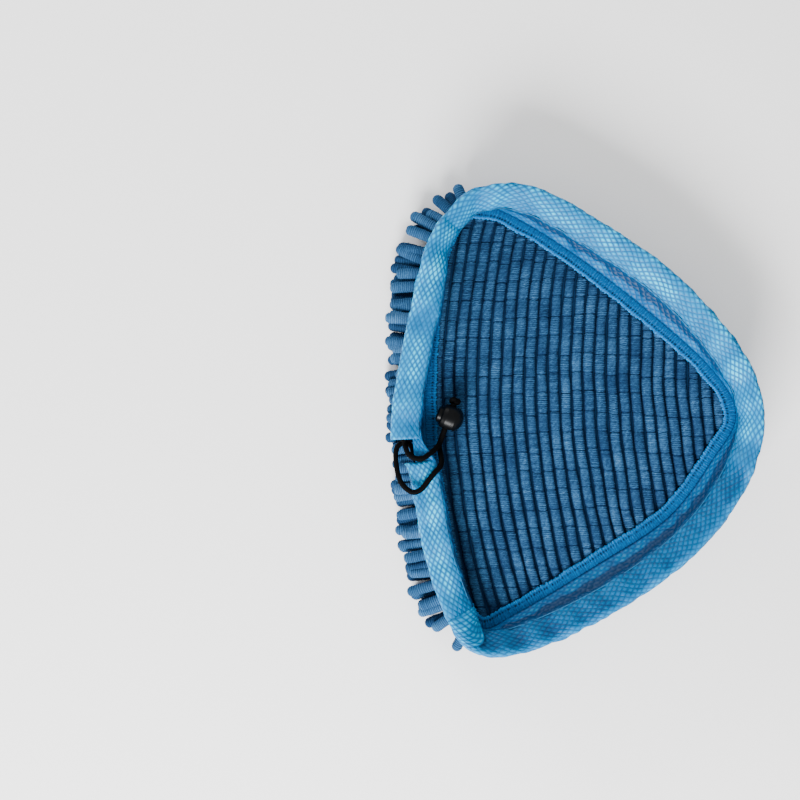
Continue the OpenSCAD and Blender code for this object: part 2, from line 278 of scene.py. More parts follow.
def twillMaterial(name, look):
    # Woven polyester twill, piece dyed: satin diamond-shaped floats with darker lines between them. Positive
    # tone brightens the floats as a painted sheen; negative tone darkens the colour as painted shade
    material, tree = newMaterial(name)
    uv = addNode(tree, "ShaderNodeUVMap", {"uv_map": "cloth"}).outputs["UV"]
    wander = addNode(tree, "ShaderNodeTexNoise", {"Scale": 0.06, "Detail": 1.0}, {"Vector": uv})
    bent = addNode(tree, "ShaderNodeVectorMath", {"operation": "MULTIPLY_ADD", 1: (2.5, 2.5, 0)},
                   {0: wander.outputs["Color"], 2: uv})
    lines = []
    for lean in (1, -1):
        along = math.pi / look["cellLength"], lean * math.pi / look["cellWidth"], 0
        turned = addNode(tree, "ShaderNodeVectorMath", {"operation": "DOT_PRODUCT", 1: along},
                         {0: bent.outputs["Vector"]})
        wave = addNode(tree, "ShaderNodeMath", {"operation": "SINE"}, {0: turned.outputs["Value"]})
        height = addNode(tree, "ShaderNodeMath", {"operation": "ABSOLUTE"}, {0: wave.outputs[0]})
        lines.append(addNode(tree, "ShaderNodeMath", {"operation": "POWER", 1: look["crown"]},
                             {0: height.outputs[0]}).outputs[0])
    floats = addNode(tree, "ShaderNodeMath", {"operation": "MULTIPLY"}, {0: lines[0], 1: lines[1]})
    patches = addNode(tree, "ShaderNodeTexNoise", {"Scale": 0.07, "Detail": 3.0, "Roughness": 0.6},
                      {"Vector": uv})
    toneAndPaintedLight = addNode(tree, "ShaderNodeAttribute", {"attribute_name": "tone"})
    # Painted sheen: positive tone makes the floats stand out brighter
    paintedSheen = addNode(tree, "ShaderNodeMath", {"operation": "MAXIMUM", 1: 0.0}, {0: toneAndPaintedLight.outputs["Fac"]})
    strength = addNode(tree, "ShaderNodeMath", {"operation": "MULTIPLY_ADD", 1: look["paintedSheenContrast"],
                                                2: look["contrast"]}, {0: paintedSheen.outputs[0]})
    depth = addNode(tree, "ShaderNodeMath", {"operation": "MULTIPLY_ADD", 2: look["ground"]},
                    {0: floats.outputs[0], 1: strength.outputs[0]})
    uneven = addNode(tree, "ShaderNodeMath", {"operation": "MULTIPLY_ADD", 1: 0.6, 2: -0.3},
                     {0: patches.outputs["Fac"]})
    level = addNode(tree, "ShaderNodeMath", {"operation": "ADD"}, {0: depth.outputs[0], 1: uneven.outputs[0]})
    # Painted shade: negative tone darkens the colour
    darker = addNode(tree, "ShaderNodeMath", {"operation": "MINIMUM", 1: 0.0}, {0: toneAndPaintedLight.outputs["Fac"]})
    shade = addNode(tree, "ShaderNodeMath", {"operation": "ADD"}, {0: level.outputs[0], 1: darker.outputs[0]})
    colour = colourRamp(tree, shade.outputs[0], look["colours"])
    bump = addNode(tree, "ShaderNodeBump", {"Strength": 1.0, "Distance": look["relief"] * mm},
                   {"Height": floats.outputs[0]})
    finishMaterial(tree, colour, bump.outputs["Normal"], look["finish"])
    return material


def chenilleMaterial(name, look):
    # Cut microfibre pile twisted into yarn: matt and fuzzy, with painted shade from the tone attribute down
    # between the ribs
    material, tree = newMaterial(name)
    place = addNode(tree, "ShaderNodeTexCoord").outputs["Object"]
    pile = addNode(tree, "ShaderNodeTexNoise",
                   {"Scale": 1 / (look["tuft"] * mm), "Detail": 3.0, "Roughness": 0.7}, {"Vector": place})
    patches = addNode(tree, "ShaderNodeTexNoise", {"Scale": 1 / (look["patch"] * mm), "Detail": 1.0},
                      {"Vector": place})
    toneAndPaintedLight = addNode(tree, "ShaderNodeAttribute", {"attribute_name": "tone"})
    fuzz = addNode(tree, "ShaderNodeMath",
                   {"operation": "MULTIPLY_ADD", 1: look["fuzz"], 2: -look["fuzz"] / 2},
                   {0: pile.outputs["Fac"]})
    drift = addNode(tree, "ShaderNodeMath", {"operation": "MULTIPLY_ADD", 1: 0.5, 2: -0.25},
                    {0: patches.outputs["Fac"]})
    first = addNode(tree, "ShaderNodeMath", {"operation": "ADD"}, {0: fuzz.outputs[0], 1: drift.outputs[0]})
    level = addNode(tree, "ShaderNodeMath", {"operation": "ADD"},
                    {0: first.outputs[0], 1: toneAndPaintedLight.outputs["Fac"]})
    colour = colourRamp(tree, level.outputs[0], look["colours"])
    bump = addNode(tree, "ShaderNodeBump", {"Strength": 0.6, "Distance": 0.25 * mm},
                   {"Height": pile.outputs["Fac"]})
    finishMaterial(tree, colour, bump.outputs["Normal"], look["finish"])
    return material


def threadMaterial(name, look):
    # Spun thread or braided yarn: fine strands that catch the light along them
    material, tree = newMaterial(name)
    place = addNode(tree, "ShaderNodeTexCoord").outputs["Object"]
    strands = addNode(tree, "ShaderNodeTexNoise", {"Scale": 1 / (look["fibre"] * mm), "Detail": 2.0},
                      {"Vector": place})
    toneAndPaintedLight = addNode(tree, "ShaderNodeAttribute", {"attribute_name": "tone"})
    level = addNode(tree, "ShaderNodeMath", {"operation": "MULTIPLY_ADD", 1: look["contrast"]},
                    {0: strands.outputs["Fac"], 2: toneAndPaintedLight.outputs["Fac"]})
    colour = colourRamp(tree, level.outputs[0], look["colours"])
    bump = addNode(tree, "ShaderNodeBump", {"Strength": 0.5, "Distance": 0.15 * mm},
                   {"Height": strands.outputs["Fac"]})
    finishMaterial(tree, colour, bump.outputs["Normal"], look["finish"])
    return material


def hardMaterial(name, look):
    # Moulded plastic or drawn wire: smooth, with faint mottling in colour and relief
    material, tree = newMaterial(name)
    place = addNode(tree, "ShaderNodeTexCoord").outputs["Object"]
    mottle = addNode(tree, "ShaderNodeTexNoise", {"Scale": 1 / (look["grain"] * mm), "Detail": 3.0},
                     {"Vector": place})
    colour = colourRamp(tree, mottle.outputs["Fac"], look["colours"])
    bump = addNode(tree, "ShaderNodeBump", {"Strength": look["bump"], "Distance": 0.05 * mm},
                   {"Height": mottle.outputs["Fac"]})
    finishMaterial(tree, colour, bump.outputs["Normal"], look["finish"])
    return material


print("materials")
weave = {
    # Diamonds 5 mm along the tape and 3.2 mm across it
    "cellLength": 5.0, "cellWidth": 3.2, "crown": 0.8, "relief": 0.3,
    "ground": 0.26, "contrast": 0.22, "paintedSheenContrast": 1.4,
    "finish": {"Roughness": 0.45, "Specular IOR Level": 0.15},
}
# A darker copy of the casing's twill: painted shade for the skirt and the exit flap
shadedTwill = twillMaterial("wovenTwillShadedCopy", {
    **weave, "colours": [(0.0, "#003058"), (0.35, "#005086"), (0.7, "#0076A8"), (1.0, "#00A8D4")],
})
casingTwill = twillMaterial("wovenTwillCasing", {
    **weave, "colours": [(0.0, "#003660"), (0.35, "#006094"), (0.7, "#0082B8"), (1.0, "#00C0E8")],
})
chenille = chenilleMaterial("chenilleMicrofibre", {
    # Tufts about 0.5 mm across
    "tuft": 0.5, "patch": 14, "fuzz": 0.9,
    "colours": [(0.0, "#0A2444"), (0.3, "#1A3959"), (0.6, "#2D577E"), (1.0, "#5682A8")],
    "finish": {"Roughness": 0.95, "Specular IOR Level": 0.08},
})
groundKnit = chenilleMaterial("knittedGroundCloth", {
    "tuft": 0.9, "patch": 20, "fuzz": 0.6,
    "colours": [(0.0, "#082040"), (0.5, "#103358"), (1.0, "#1E4A74")],
    "finish": {"Roughness": 0.9, "Specular IOR Level": 0.1},
})
overlockThread = threadMaterial("overlockThread", {
    "fibre": 0.45, "contrast": 0.5,
    "colours": [(0.0, "#06243C"), (0.3, "#03467A"), (0.6, "#0A64A2"), (1.0, "#309EDC")],
    "finish": {"Roughness": 0.8, "Specular IOR Level": 0.1},
})
sewingThread = threadMaterial("spunSewingThread", {
    "fibre": 0.3, "contrast": 0.4,
    "colours": [(0.0, "#04304E"), (0.5, "#0A5078"), (1.0, "#1A78AC")],
    "finish": {"Roughness": 0.6, "Specular IOR Level": 0.3},
})
braidedElastic = threadMaterial("braidedElastic", {
    "fibre": 0.35, "contrast": 0.5,
    "colours": [(0.0, "#010101"), (0.6, "#020203"), (1.0, "#08090A")],
    "finish": {"Roughness": 0.8, "Specular IOR Level": 0.05},
})
mouldedPlastic = hardMaterial("mouldedAcetal", {
    "grain": 2.5, "bump": 0.06,
    "colours": [(0.0, "#010203"), (1.0, "#040507")],
    "finish": {"Roughness": 0.34, "IOR": 1.48, "Specular IOR Level": 0.13},
})
springSteel = hardMaterial("drawnSpringSteel", {
    "grain": 0.4, "bump": 0.1,
    "colours": [(0.0, "#8E9196"), (1.0, "#C4C7CB")],
    "finish": {"Roughness": 0.28, "Metallic": 1.0},
})

print("camera")
cameraData = bpy.data.cameras.new("camera")
cameraData.lens = 58.2
cameraData.sensor_width = 36
camera = bpy.data.objects.new("camera", cameraData)
camera.location = (-0.105, 0.0105, 0.8)
bpy.context.scene.collection.objects.link(camera)
bpy.context.scene.camera = camera

print("drawstring")
cord = {
    "diameter": 3.2,
    "exitGap": (-89, -18.5),
    "lockTurn": math.radians(-20),
    "lockAt": (-74.7, -0.2, 33.3),
    "strandX": -1.3,
    "strandSpacing": 3.4,
    "lockRadius": 7.8,
    "lockTravel": 8,
    "knotGap": 0.6,
    "sides": 24,
    "braidPitch": 4.2,
    "upper": [
        [-13.87, 5.81, 40], [-13.13, 2.9, 40.2], [-11.5, -2, 43], [-7.5, -5, 44.4], [-2.5, -5, 44.4],
        [2, -2, 42], [5.8, 1.2, 38.2],
    ],
    "lower": [
        [-6.33, -7.41, 40], [-7.95, -3.75, 39.8], [-9.3, 1.6, 37.5], [-13, 4, 36.4], [-17, 2, 37],
        [-18.5, -2.5, 38], [-18, -10.5, 40.5], [-16, -18, 43.5], [-12, -23, 45.5], [-7.5, -24.8, 46],
        [-3, -22.5, 46], [0.5, -18, 45.8], [4.2, -13.5, 45], [8, -9, 42], [8, -3.5, 37.5],
        [7.3, 1, 32.6],
    ],
}


def inLock(x, y, z):
    # A place along the lock, turned with it
    c, s = math.cos(cord["lockTurn"]), math.sin(cord["lockTurn"])
    at = cord["lockAt"]
    return [at[0] + x * c - y * s, at[1] + x * s + y * c, at[2] + z]


def freeRoute(route, level):
    gap = cord["exitGap"]
    fromExit = [[gap[0] + p[0], gap[1] + p[1], p[2]] for p in route]
    radius = cord["lockRadius"]
    reach = [-radius - cord["lockTravel"], -radius, 0, radius + cord["knotGap"]]
    straight = [inLock(cord["strandX"], y, level * cord["strandSpacing"] / 2) for y in reach]
    points = np.array(fromExit + straight)
    n = len(points)
    smooth = []
    for i in range(n - 1):
        ends = points[max(i - 1, 0)], points[i], points[i + 1], points[min(i + 2, n - 1)]
        smooth += [catmullRom(*ends, t) for t in np.arange(8) / 8]
    return np.array(smooth + [points[-1]])


def braidedTube(path):
    # Two sets of yarns wound both ways: the surface rises where one lies over the other
    path = resample(path, 0.3)
    sides = cord["sides"]
    at = lengthAlong(path)[:, None] / cord["braidPitch"] * 2 * math.pi
    angle = 2 * math.pi * np.arange(sides)[None] / sides
    yarns = np.sin(4 * angle + at * 2) * np.sin(4 * angle - at * 2)
    radii = cord["diameter"] / 2 * (0.985 + 0.06 * yarns)
    # Painted shade: lighter where one yarn lies over the other, darker in the dips
    return gridPart(tubePoints(path, radii, sides), around=True, tone=0.25 + 0.45 * yarns, startTip=True,
                    endTip=True)


for name, node, level in (("drawstringUpperEnd", "drawstring_upper_end", 1),
                          ("drawstringLowerEnd", "drawstring_lower_end", -1)):
    route = freeRoute(cord["upper" if level > 0 else "lower"], level)
    piece = makePiece(name, [braidedTube(route)], braidedElastic, "mitt", [node])

# The two ends are tied in one overhand knot behind the lock
turns = np.linspace(0, 2 * math.pi, 121)[:-1]
knot = {"across": 0.74, "along": 0.75, "fromGap": 1.8, "radius": 1.45}
knotShape = np.column_stack([
    (np.sin(turns) + 2 * np.sin(2 * turns)) * knot["across"],
    np.sin(3 * turns) * knot["along"],
    (np.cos(turns) - 2 * np.cos(2 * turns)) * knot["across"],
])
knotAt = cord["lockRadius"] + cord["knotGap"] + knot["fromGap"]
knotPath = np.array([inLock(cord["strandX"] + p[0], knotAt + p[1], p[2]) for p in knotShape])
sides = 16
ringAngle = 2 * math.pi * np.arange(sides)[None] / sides
knotYarns = np.sin(4 * ringAngle + turns[:, None] * 12) * np.sin(4 * ringAngle - turns[:, None] * 12)
closedPath = np.vstack([knotPath, knotPath[:1]])
knotRings = tubePoints(closedPath, knot["radius"], sides)[:-1]
# Painted shade: lighter where one yarn lies over the other, darker in the dips
knotGrid = gridPart(knotRings, around=True, along=True, tone=0.25 + 0.45 * knotYarns)
endKnot = makePiece("endKnot", [knotGrid], braidedElastic, "mitt", ["end_knot"])

print("cord lock")
for node in ("lock_barrel", "lock_plunger", "lock_spring"):
    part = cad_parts[node]
    part.data.materials.clear()
    part.data.materials.append(springSteel if node == "lock_spring" else mouldedPlastic)
    part.data.polygons.foreach_set("use_smooth", [True] * len(part.data.polygons))
    part.data.set_sharp_from_angle(angle=math.radians(32))

casing = {
    "start": 14.88,
    "finish": 33.17,
    "halfWidth": 9.5,
    "halfHeight": 3.5,
    "clothThickness": 1.0,
    "step": 1.6,
    "sides": 52,
}


def casingAt(s, along, across):
    # Points of the casing from its middle line: along its width and square to its flat
    p = stationAt(s)
    lean = np.radians(p[:, 3])
    half = casing["halfWidth"]
    out = p[:, 2] - half * np.cos(lean) + along * np.cos(lean) - across * np.sin(lean)
    up = p[:, 4] + half * np.sin(lean) + along * np.sin(lean) + across * np.cos(lean)
    return beside(s, out, up)


def evenStations(start, finish, step, along=0):
    # Station values at even distances along the casing
    fine = np.linspace(start, finish, 1500)
    at = lengthAlong(casingAt(fine, along, 0))
    return np.interp(np.linspace(0, at[-1], int(at[-1] / step) + 1), at, fine), at[-1]


def gridNormals(points, around):
    if around:
        turn = np.roll(points, -1, axis=1) - np.roll(points, 1, axis=1)
    else:
        turn = np.gradient(points, axis=1)
    return unit(np.cross(turn, np.gradient(points, axis=0)))


print("casing")
ringStations, casingLength = evenStations(casing["start"], casing["finish"], casing["step"])
angle = 2 * math.pi * np.arange(casing["sides"]) / casing["sides"]
flat = np.sign(np.cos(angle)) * np.abs(np.cos(angle)) ** 0.95
domed = np.sign(np.sin(angle)) * np.abs(np.sin(angle)) ** 0.75
shell = np.stack([casingAt(ringStations, (casing["halfWidth"] - 0.3) * c, (casing["halfHeight"] - 0.3) * s)
                  for c, s in zip(flat, domed)], axis=1)
runAlong = np.linspace(0, casingLength, len(ringStations))
girth = np.concatenate([[0], np.cumsum(np.linalg.norm(np.diff(
    np.vstack([shell[10], shell[10][:1]]), axis=0), axis=1))])
top = girth[casing["sides"] // 4]
uGrid, vGrid = np.meshgrid(runAlong, girth[:-1] - top, indexing="ij")
creases = 0.6 * ripple(uGrid, vGrid * 0.6, 24, 3) + 0.2 * ripple(uGrid, vGrid, 9, 4)
shell += gridNormals(shell, True) * creases[:, :, None]
# Short pleats where the tape turns the corners: station, depth in mm, width in stations
pleats = (
    (5.45, 1.4, 0.035), (6.75, 1.2, 0.03), (6.5, 0.7, 0.05), (11.05, 1.5, 0.03),
    (11.6, 1.0, 0.04), (18.62, 0.9, 0.04), (0.6, 0.8, 0.04), (1.5, 0.6, 0.05),
)
for pleatAt, pleatDepth, pleatWidth in pleats:
    pleat = np.exp(-((ringStations[:, None] - pleatAt + 0.02 * vGrid / 10) / pleatWidth) ** 2)
    shell -= gridNormals(shell, True) * (pleatDepth * pleat * (domed[None] > -0.2))[:, :, None]
    # Each pleat also lowers the tone: painted shade in the pleats
    creases = creases - 2.2 * pleat * pleatDepth
alongWidth = np.broadcast_to(np.cos(angle)[None], creases.shape)
# Painted shade: a dark line along the casing's inner crease
paintedCreaseShade = np.exp(-((alongWidth + 1.0) / 0.14) ** 2)
# Painted sheen on the straight side, the toe and the far side, and along the tape's outer edge; painted shade
# along the inner crease, in the creases and pleats, and on the near side
farSide = smoothStep((ringStations - 14.9) / 0.6) - smoothStep((ringStations - 25.0) / 1.2)
# Painted shade on the near side, from the right tip round the lower side
shadedNearSide = smoothStep((ringStations - 25.0) / 1.2) - smoothStep((ringStations - 31.0) / 1.0)
patches = 0.16 + 0.3 * ripple(uGrid, vGrid, 30, 5)
across = np.exp(-((alongWidth - 0.05) / 0.6) ** 2)
paintedSheen = farSide[:, None] * across * np.clip(patches + 0.14, 0, None)
paintedSheen = paintedSheen + (0.2 + 0.4 * np.clip(patches, 0, None)) * smoothStep((alongWidth - 0.5) / 0.45)
paintedSheen = paintedSheen + smoothStep((ringStations - 30.2) / 1.0)[:, None] * across * np.clip(patches + 0.2, 0, None)
casingUv = np.stack(np.meshgrid(runAlong, girth - top, indexing="ij"), axis=2)
casingTone = paintedSheen + 0.08 * creases - 0.75 * paintedCreaseShade - 0.22 * shadedNearSide[:, None]
casingPart = gridPart(shell, around=True, uv=casingUv, tone=casingTone)
drawstringCasing = makePiece("drawstringCasing", [casingPart], casingTwill, "mitt",
                             ["drawstring_casing"])
solid = drawstringCasing.modifiers.new("cloth", "SOLIDIFY")
solid.thickness = casing["clothThickness"] * mm
solid.offset = -1

print("skirt")
skirt = {"step": 1.6, "inset": 2.5, "sewnIn": 1.8, "gather": 0.7, "thickness": 1.0}
skirtRings, skirtLength = evenStations(0, len(stations), skirt["step"])
skirtRings = skirtRings[:-1]
seat = casing["halfWidth"] - skirt["inset"]
under = casing["halfHeight"] * math.sqrt(1 - (seat / casing["halfWidth"]) ** 2) + 0.25
foot = beside(skirtRings, pad["edgeClearance"] + 0.3, pad["groundTop"])
knee = beside(skirtRings, pad["edgeClearance"] + 0.3, pad["lipTop"] + 0.5)
rim = casingAt(skirtRings, -seat, -under + skirt["sewnIn"])  # its edge is sewn in between the casing's cloths
columns = []
for t in np.linspace(0, 1, 6)[:-1]:
    columns.append(foot + (knee - foot) * t)
for t in np.linspace(0, 1, 16):
    columns.append(knee + (rim - knee) * t)
wall = np.stack(columns, axis=1)
wallRun = np.linspace(0, skirtLength, len(skirtRings) + 1)
wallRise = np.concatenate([[0], np.cumsum(np.linalg.norm(np.diff(wall[40], axis=0), axis=1))])
uWall, vWall = np.meshgrid(wallRun[:-1], wallRise, indexing="ij")
seen = wallRise[-1] - skirt["sewnIn"]
loose = smoothStep((vWall - 5) / 5) * smoothStep((seen - vWall) / 3)
gathers = ripple(uWall, vWall * 0.35, 15, 8) * loose
wall += gridNormals(wall, False) * (skirt["gather"] * gathers)[:, :, None]
wallUv = np.stack(np.meshgrid(wallRun, wallRise, indexing="ij"), axis=2)
# Dark where the skirt tucks under the casing and where it leaves the lip
shaded = 0.8 * smoothStep((vWall - seen + 5.0) / 2.6) + 0.45 * (1 - smoothStep((vWall - 5.4) / 1.4))
# The gathers' tone is painted shade: lighter where they push out along the normal, darker where they sink in
skirtPart = gridPart(wall, along=True, uv=wallUv, tone=0.16 * gathers - shaded)
twillSkirt = makePiece("twillSkirt", [skirtPart], shadedTwill, "mitt", ["skirt"])
solid = twillSkirt.modifiers.new("cloth", "SOLIDIFY")
solid.thickness = skirt["thickness"] * mm
solid.offset = 0

# Where the casing is open, its upper cloth runs on across the gap over the drawstring
flapStations = np.linspace(13.9, 15.1, 26)
flapShare = smoothStep((flapStations - 14.02) / 0.95)
flapOuter = 3.5 - 6.5 * flapShare
flapColumns = []
for t in np.linspace(0, 1, 12):
    along = -8.4 + (flapOuter + 8.4) * t
    flapColumns.append(casingAt(flapStations, along, 1.7 + 0.9 * np.sin(math.pi * (flapStations - 13.9) / 1.2)
                                * (1 - 0.3 * t)))
flapGrid = np.stack(flapColumns, axis=1)
flapRun = lengthAlong(flapGrid[:, 6])
flapUv = np.stack(np.meshgrid(flapRun, np.linspace(0, 9, 12), indexing="ij"), axis=2)
exitFlap = makePiece("exitFlap", [gridPart(flapGrid[:, ::-1], uv=flapUv)], shadedTwill, "mitt")
solid = exitFlap.modifiers.new("cloth", "SOLIDIFY")
solid.thickness = 0.8 * mm
solid.offset = 0

print("corner fold")
cornerFold = {"from": 10.98, "to": 11.95, "lift": 0.85}
foldTurn = np.linspace(0.02, math.pi - 0.02, 30)
foldShare = np.linspace(0, 1, 24)
foldColumns = []
for turn in foldTurn:
    first = cornerFold["from"] + 0.3 * math.cos(turn) ** 2
    foldAt = first + (cornerFold["to"] - first) * foldShare
    lift = cornerFold["lift"] * (1 - 0.75 * smoothStep((foldShare - 0.7) / 0.3))
    foldColumns.append(casingAt(foldAt, (casing["halfWidth"] - 0.1) * math.cos(turn),
                                (casing["halfHeight"] - 0.3) * math.sin(turn) ** 0.75 + lift))
foldGrid = np.stack(foldColumns, axis=1)
foldRun, foldWidth = lengthAlong(foldGrid[:, 15])[-1], lengthAlong(foldGrid[12])[-1]
foldU, foldV = np.meshgrid(foldShare * foldRun, np.linspace(0, foldWidth, 30), indexing="ij")
foldUv = np.stack([foldU * 0.6 - foldV * 0.8, foldU * 0.8 + foldV * 0.6], axis=2)
# Painted shade along the fold's first edge; the positive tone elsewhere gives painted sheen
foldTone = 0.22 + 0.15 * ripple(foldU, foldV, 9, 61) - 0.7 * (1 - smoothStep(foldShare / 0.07))[:, None]
foldPart = gridPart(foldGrid, uv=foldUv, tone=foldTone)
foldPiece = makePiece("cornerFold", [foldPart], casingTwill, "mitt")
solid = foldPiece.modifiers.new("cloth", "SOLIDIFY")
solid.thickness = 0.7 * mm
solid.offset = 0

print("stitching and inner drawstring")
# Running stitch 7 mm inside the tape's middle, which dips into the cloth at each hole
stitch = {"inset": 7, "pitch": 3.0, "radius": 0.3, "above": 2.35}
stitchStations, stitchLength = evenStations(casing["start"] + 0.03, casing["finish"] - 0.03, 0.5,
                                            -stitch["inset"])
stitchRun = np.linspace(0, stitchLength, len(stitchStations))
dip = 0.35 * np.abs(np.sin(math.pi * stitchRun / stitch["pitch"])) ** 0.6 - 0.2
stitchPath = casingAt(stitchStations, -stitch["inset"], stitch["above"] + dip)
stitchTube = gridPart(tubePoints(stitchPath, stitch["radius"], 8), around=True, startTip=True, endTip=True,
                      tone=0.3)
makePiece("casingStitching", [stitchTube], sewingThread, "mitt", ["casing_stitching"])
innerCord = {"offset": 2.5, "radius": 1.55}
innerStations = evenStations(casing["start"], casing["finish"], 1.0, innerCord["offset"])[0]
innerPath = casingAt(innerStations, innerCord["offset"], 0)
innerTube = gridPart(tubePoints(innerPath, innerCord["radius"], 12), around=True, startTip=True, endTip=True,
                     tone=0.3)
makePiece("innerDrawstring", [innerTube], braidedElastic, "mitt", ["drawstring"])

print("overlock seam")
seam = {"step": 0.42, "threadPitch": 1.45, "holePitch": 1.8, "holeAt": -3.6}
fineStations = np.linspace(0, 19, 1500)
seamAt = lengthAlong(beside(fineStations, -3.0, pad["lipTop"]))
seamCount = int(seamAt[-1] / seam["step"])
seamStations = np.interp(np.arange(seamCount) * seamAt[-1] / seamCount, seamAt, fineStations)
# Seam's section: out from the pad edge, and height
profile = [
    (0.9, 21.3), (-0.8, 21.3), (-0.8, 24.5), (-3.0, 24.5), (-5.2, 24.5), (-5.95, 25.0), (-6.0, 25.5),
    (-5.8, 26.0), (-5.2, 26.35), (-4.6, 26.45), (-4.0, 26.4), (-3.6, 26.4), (-3.2, 26.4), (-2.6, 26.45),
    (-1.8, 26.5), (-1.0, 26.45), (-0.2, 26.4), (0.5, 26.35), (0.95, 26.2),
]
seamRun = np.arange(seamCount) * seamAt[-1] / seamCount
holeRun = seamRun + 0.3 * ripple(seamRun, 0, 7, 53)
holes = np.exp(-((holeRun % seam["holePitch"] - seam["holePitch"] / 2) / 0.4) ** 2)
holes = holes * (0.65 + 0.45 * ripple(seamRun, 0, 5, 54))
drift = 0.5 * ripple(seamRun, 0, 9, 51) + 0.35 * ripple(seamRun, 0, 4, 52)
wraps = 0.5 + 0.5 * np.sin(2 * math.pi * (seamRun + drift) / seam["threadPitch"])
seamColumns, seamTones = [], []
for out, height in profile:
    onTop = 1.0 if height > 24.9 else 0.0
    edge = smoothStep((-out - 4.4) / 1.6) * onTop
    near = math.exp(-((out - seam["holeAt"]) / 0.5) ** 2) * onTop
    lift = 0.22 * wraps * onTop + 0.12 * draws.uniform(-1, 1, seamCount) * onTop - 0.9 * holes * near
    outward = out + 0.45 * smoothStep(-out / 4) * onTop * ripple(seamRun, 0, 22, 56)
    loops = 0.45 * wraps + 0.3 * draws.uniform(-1, 1, seamCount) + 0.4 * ripple(seamRun, 0, 3.5, 55) - 0.1
    outward = outward - edge * loops
    seamColumns.append(beside(seamStations, outward, height + lift))
    # Painted shade: lighter on the thread wraps, darker in the holes; lighter along the loop edge, plus
    # random tone
    seamTones.append(0.2 * wraps - 0.9 * holes * near + 0.25 * edge + 0.12 * draws.uniform(-1, 1, seamCount))
seamGrid = np.stack(seamColumns, axis=1)
seamPart = gridPart(seamGrid, around=True, along=True, tone=np.stack(seamTones, axis=1))
makePiece("overlockSeam", [seamPart], overlockThread, "mitt", ["overlock_seam"])

print("ground cloth")
centre = edgePoints.mean(axis=0)
rimLoop = beside(np.linspace(0, 19, 241)[:-1], 0.9 + np.zeros(240), 0)[:, :2]
shares = np.linspace(0.02, 1, 36)
levels = np.concatenate([np.full(36, pad["groundTop"] - 0.05), [pad["groundBottom"] + 0.6],
                         np.full(36, pad["groundBottom"] + 0.05)])
spread = np.concatenate([shares, [1.003], shares[::-1]])
groundGrid = np.stack([np.column_stack([centre + (rimLoop - centre) * share, np.full(240, level)])
                       for share, level in zip(spread, levels)], axis=0)
groundGrid[:36, :, 2] -= 0.15 * (1 + ripple(groundGrid[:36, :, 0], groundGrid[:36, :, 1], 6, 21)) / 2
groundPart = gridPart(groundGrid, around=True, startTip=True, endTip=True, tone=0.3)
groundCloth = makePiece("groundCloth", [groundPart], groundKnit, "mitt", ["ground_cloth"])

chenilleYarn = {
    "strandHalf": 3.0,
    "strandHeight": 4.0,
    "pinchedHeight": 3.2,
    "ribPitch": 1.05,
    "pinchPitch": 11.5,
    "fingerRadius": 3.0,
    "fingerLength": 20,
    "fringeExtra": 10,
    "fringeDepth": 21,
    "fringePitch": 6.4,
    "fringeRoot": 4.5,
    # How far the fringe reaches past the pad edge at each station, 0 where it stays under the mouth
    "fringeReach": [20, 13.5] + [0] * 9 + [17.5, 27, 26.5, 23.5, 23.5, 23.5, 24.5, 25.5, 20],
    "fingerPitch": 10,
    "fingerSides": 14,
    "rootHeight": 16.85,
}
# Where a ring stands within one rib, and how far it stands in or out
ribRings = np.array([[0.0, -1.0], [0.2, 0.2], [0.5, 0.75], [0.8, 0.2]])


def ribbedRun(length, pitch):
    # Ring distances along a yarn and their rib relief from -1 to 1
    widths = pitch * (1 + 0.2 * draws.uniform(-1, 1, int(length / pitch * 1.4) + 3))
    starts = np.concatenate([[0], np.cumsum(widths)])
    at = (starts[:-1, None] + widths[:, None] * ribRings[None, :, 0]).ravel()
    relief = np.tile(ribRings[:, 1], len(widths)) * np.repeat(draws.uniform(0.6, 1.2, len(widths)), 4)
    return at[at < length], relief[at < length]


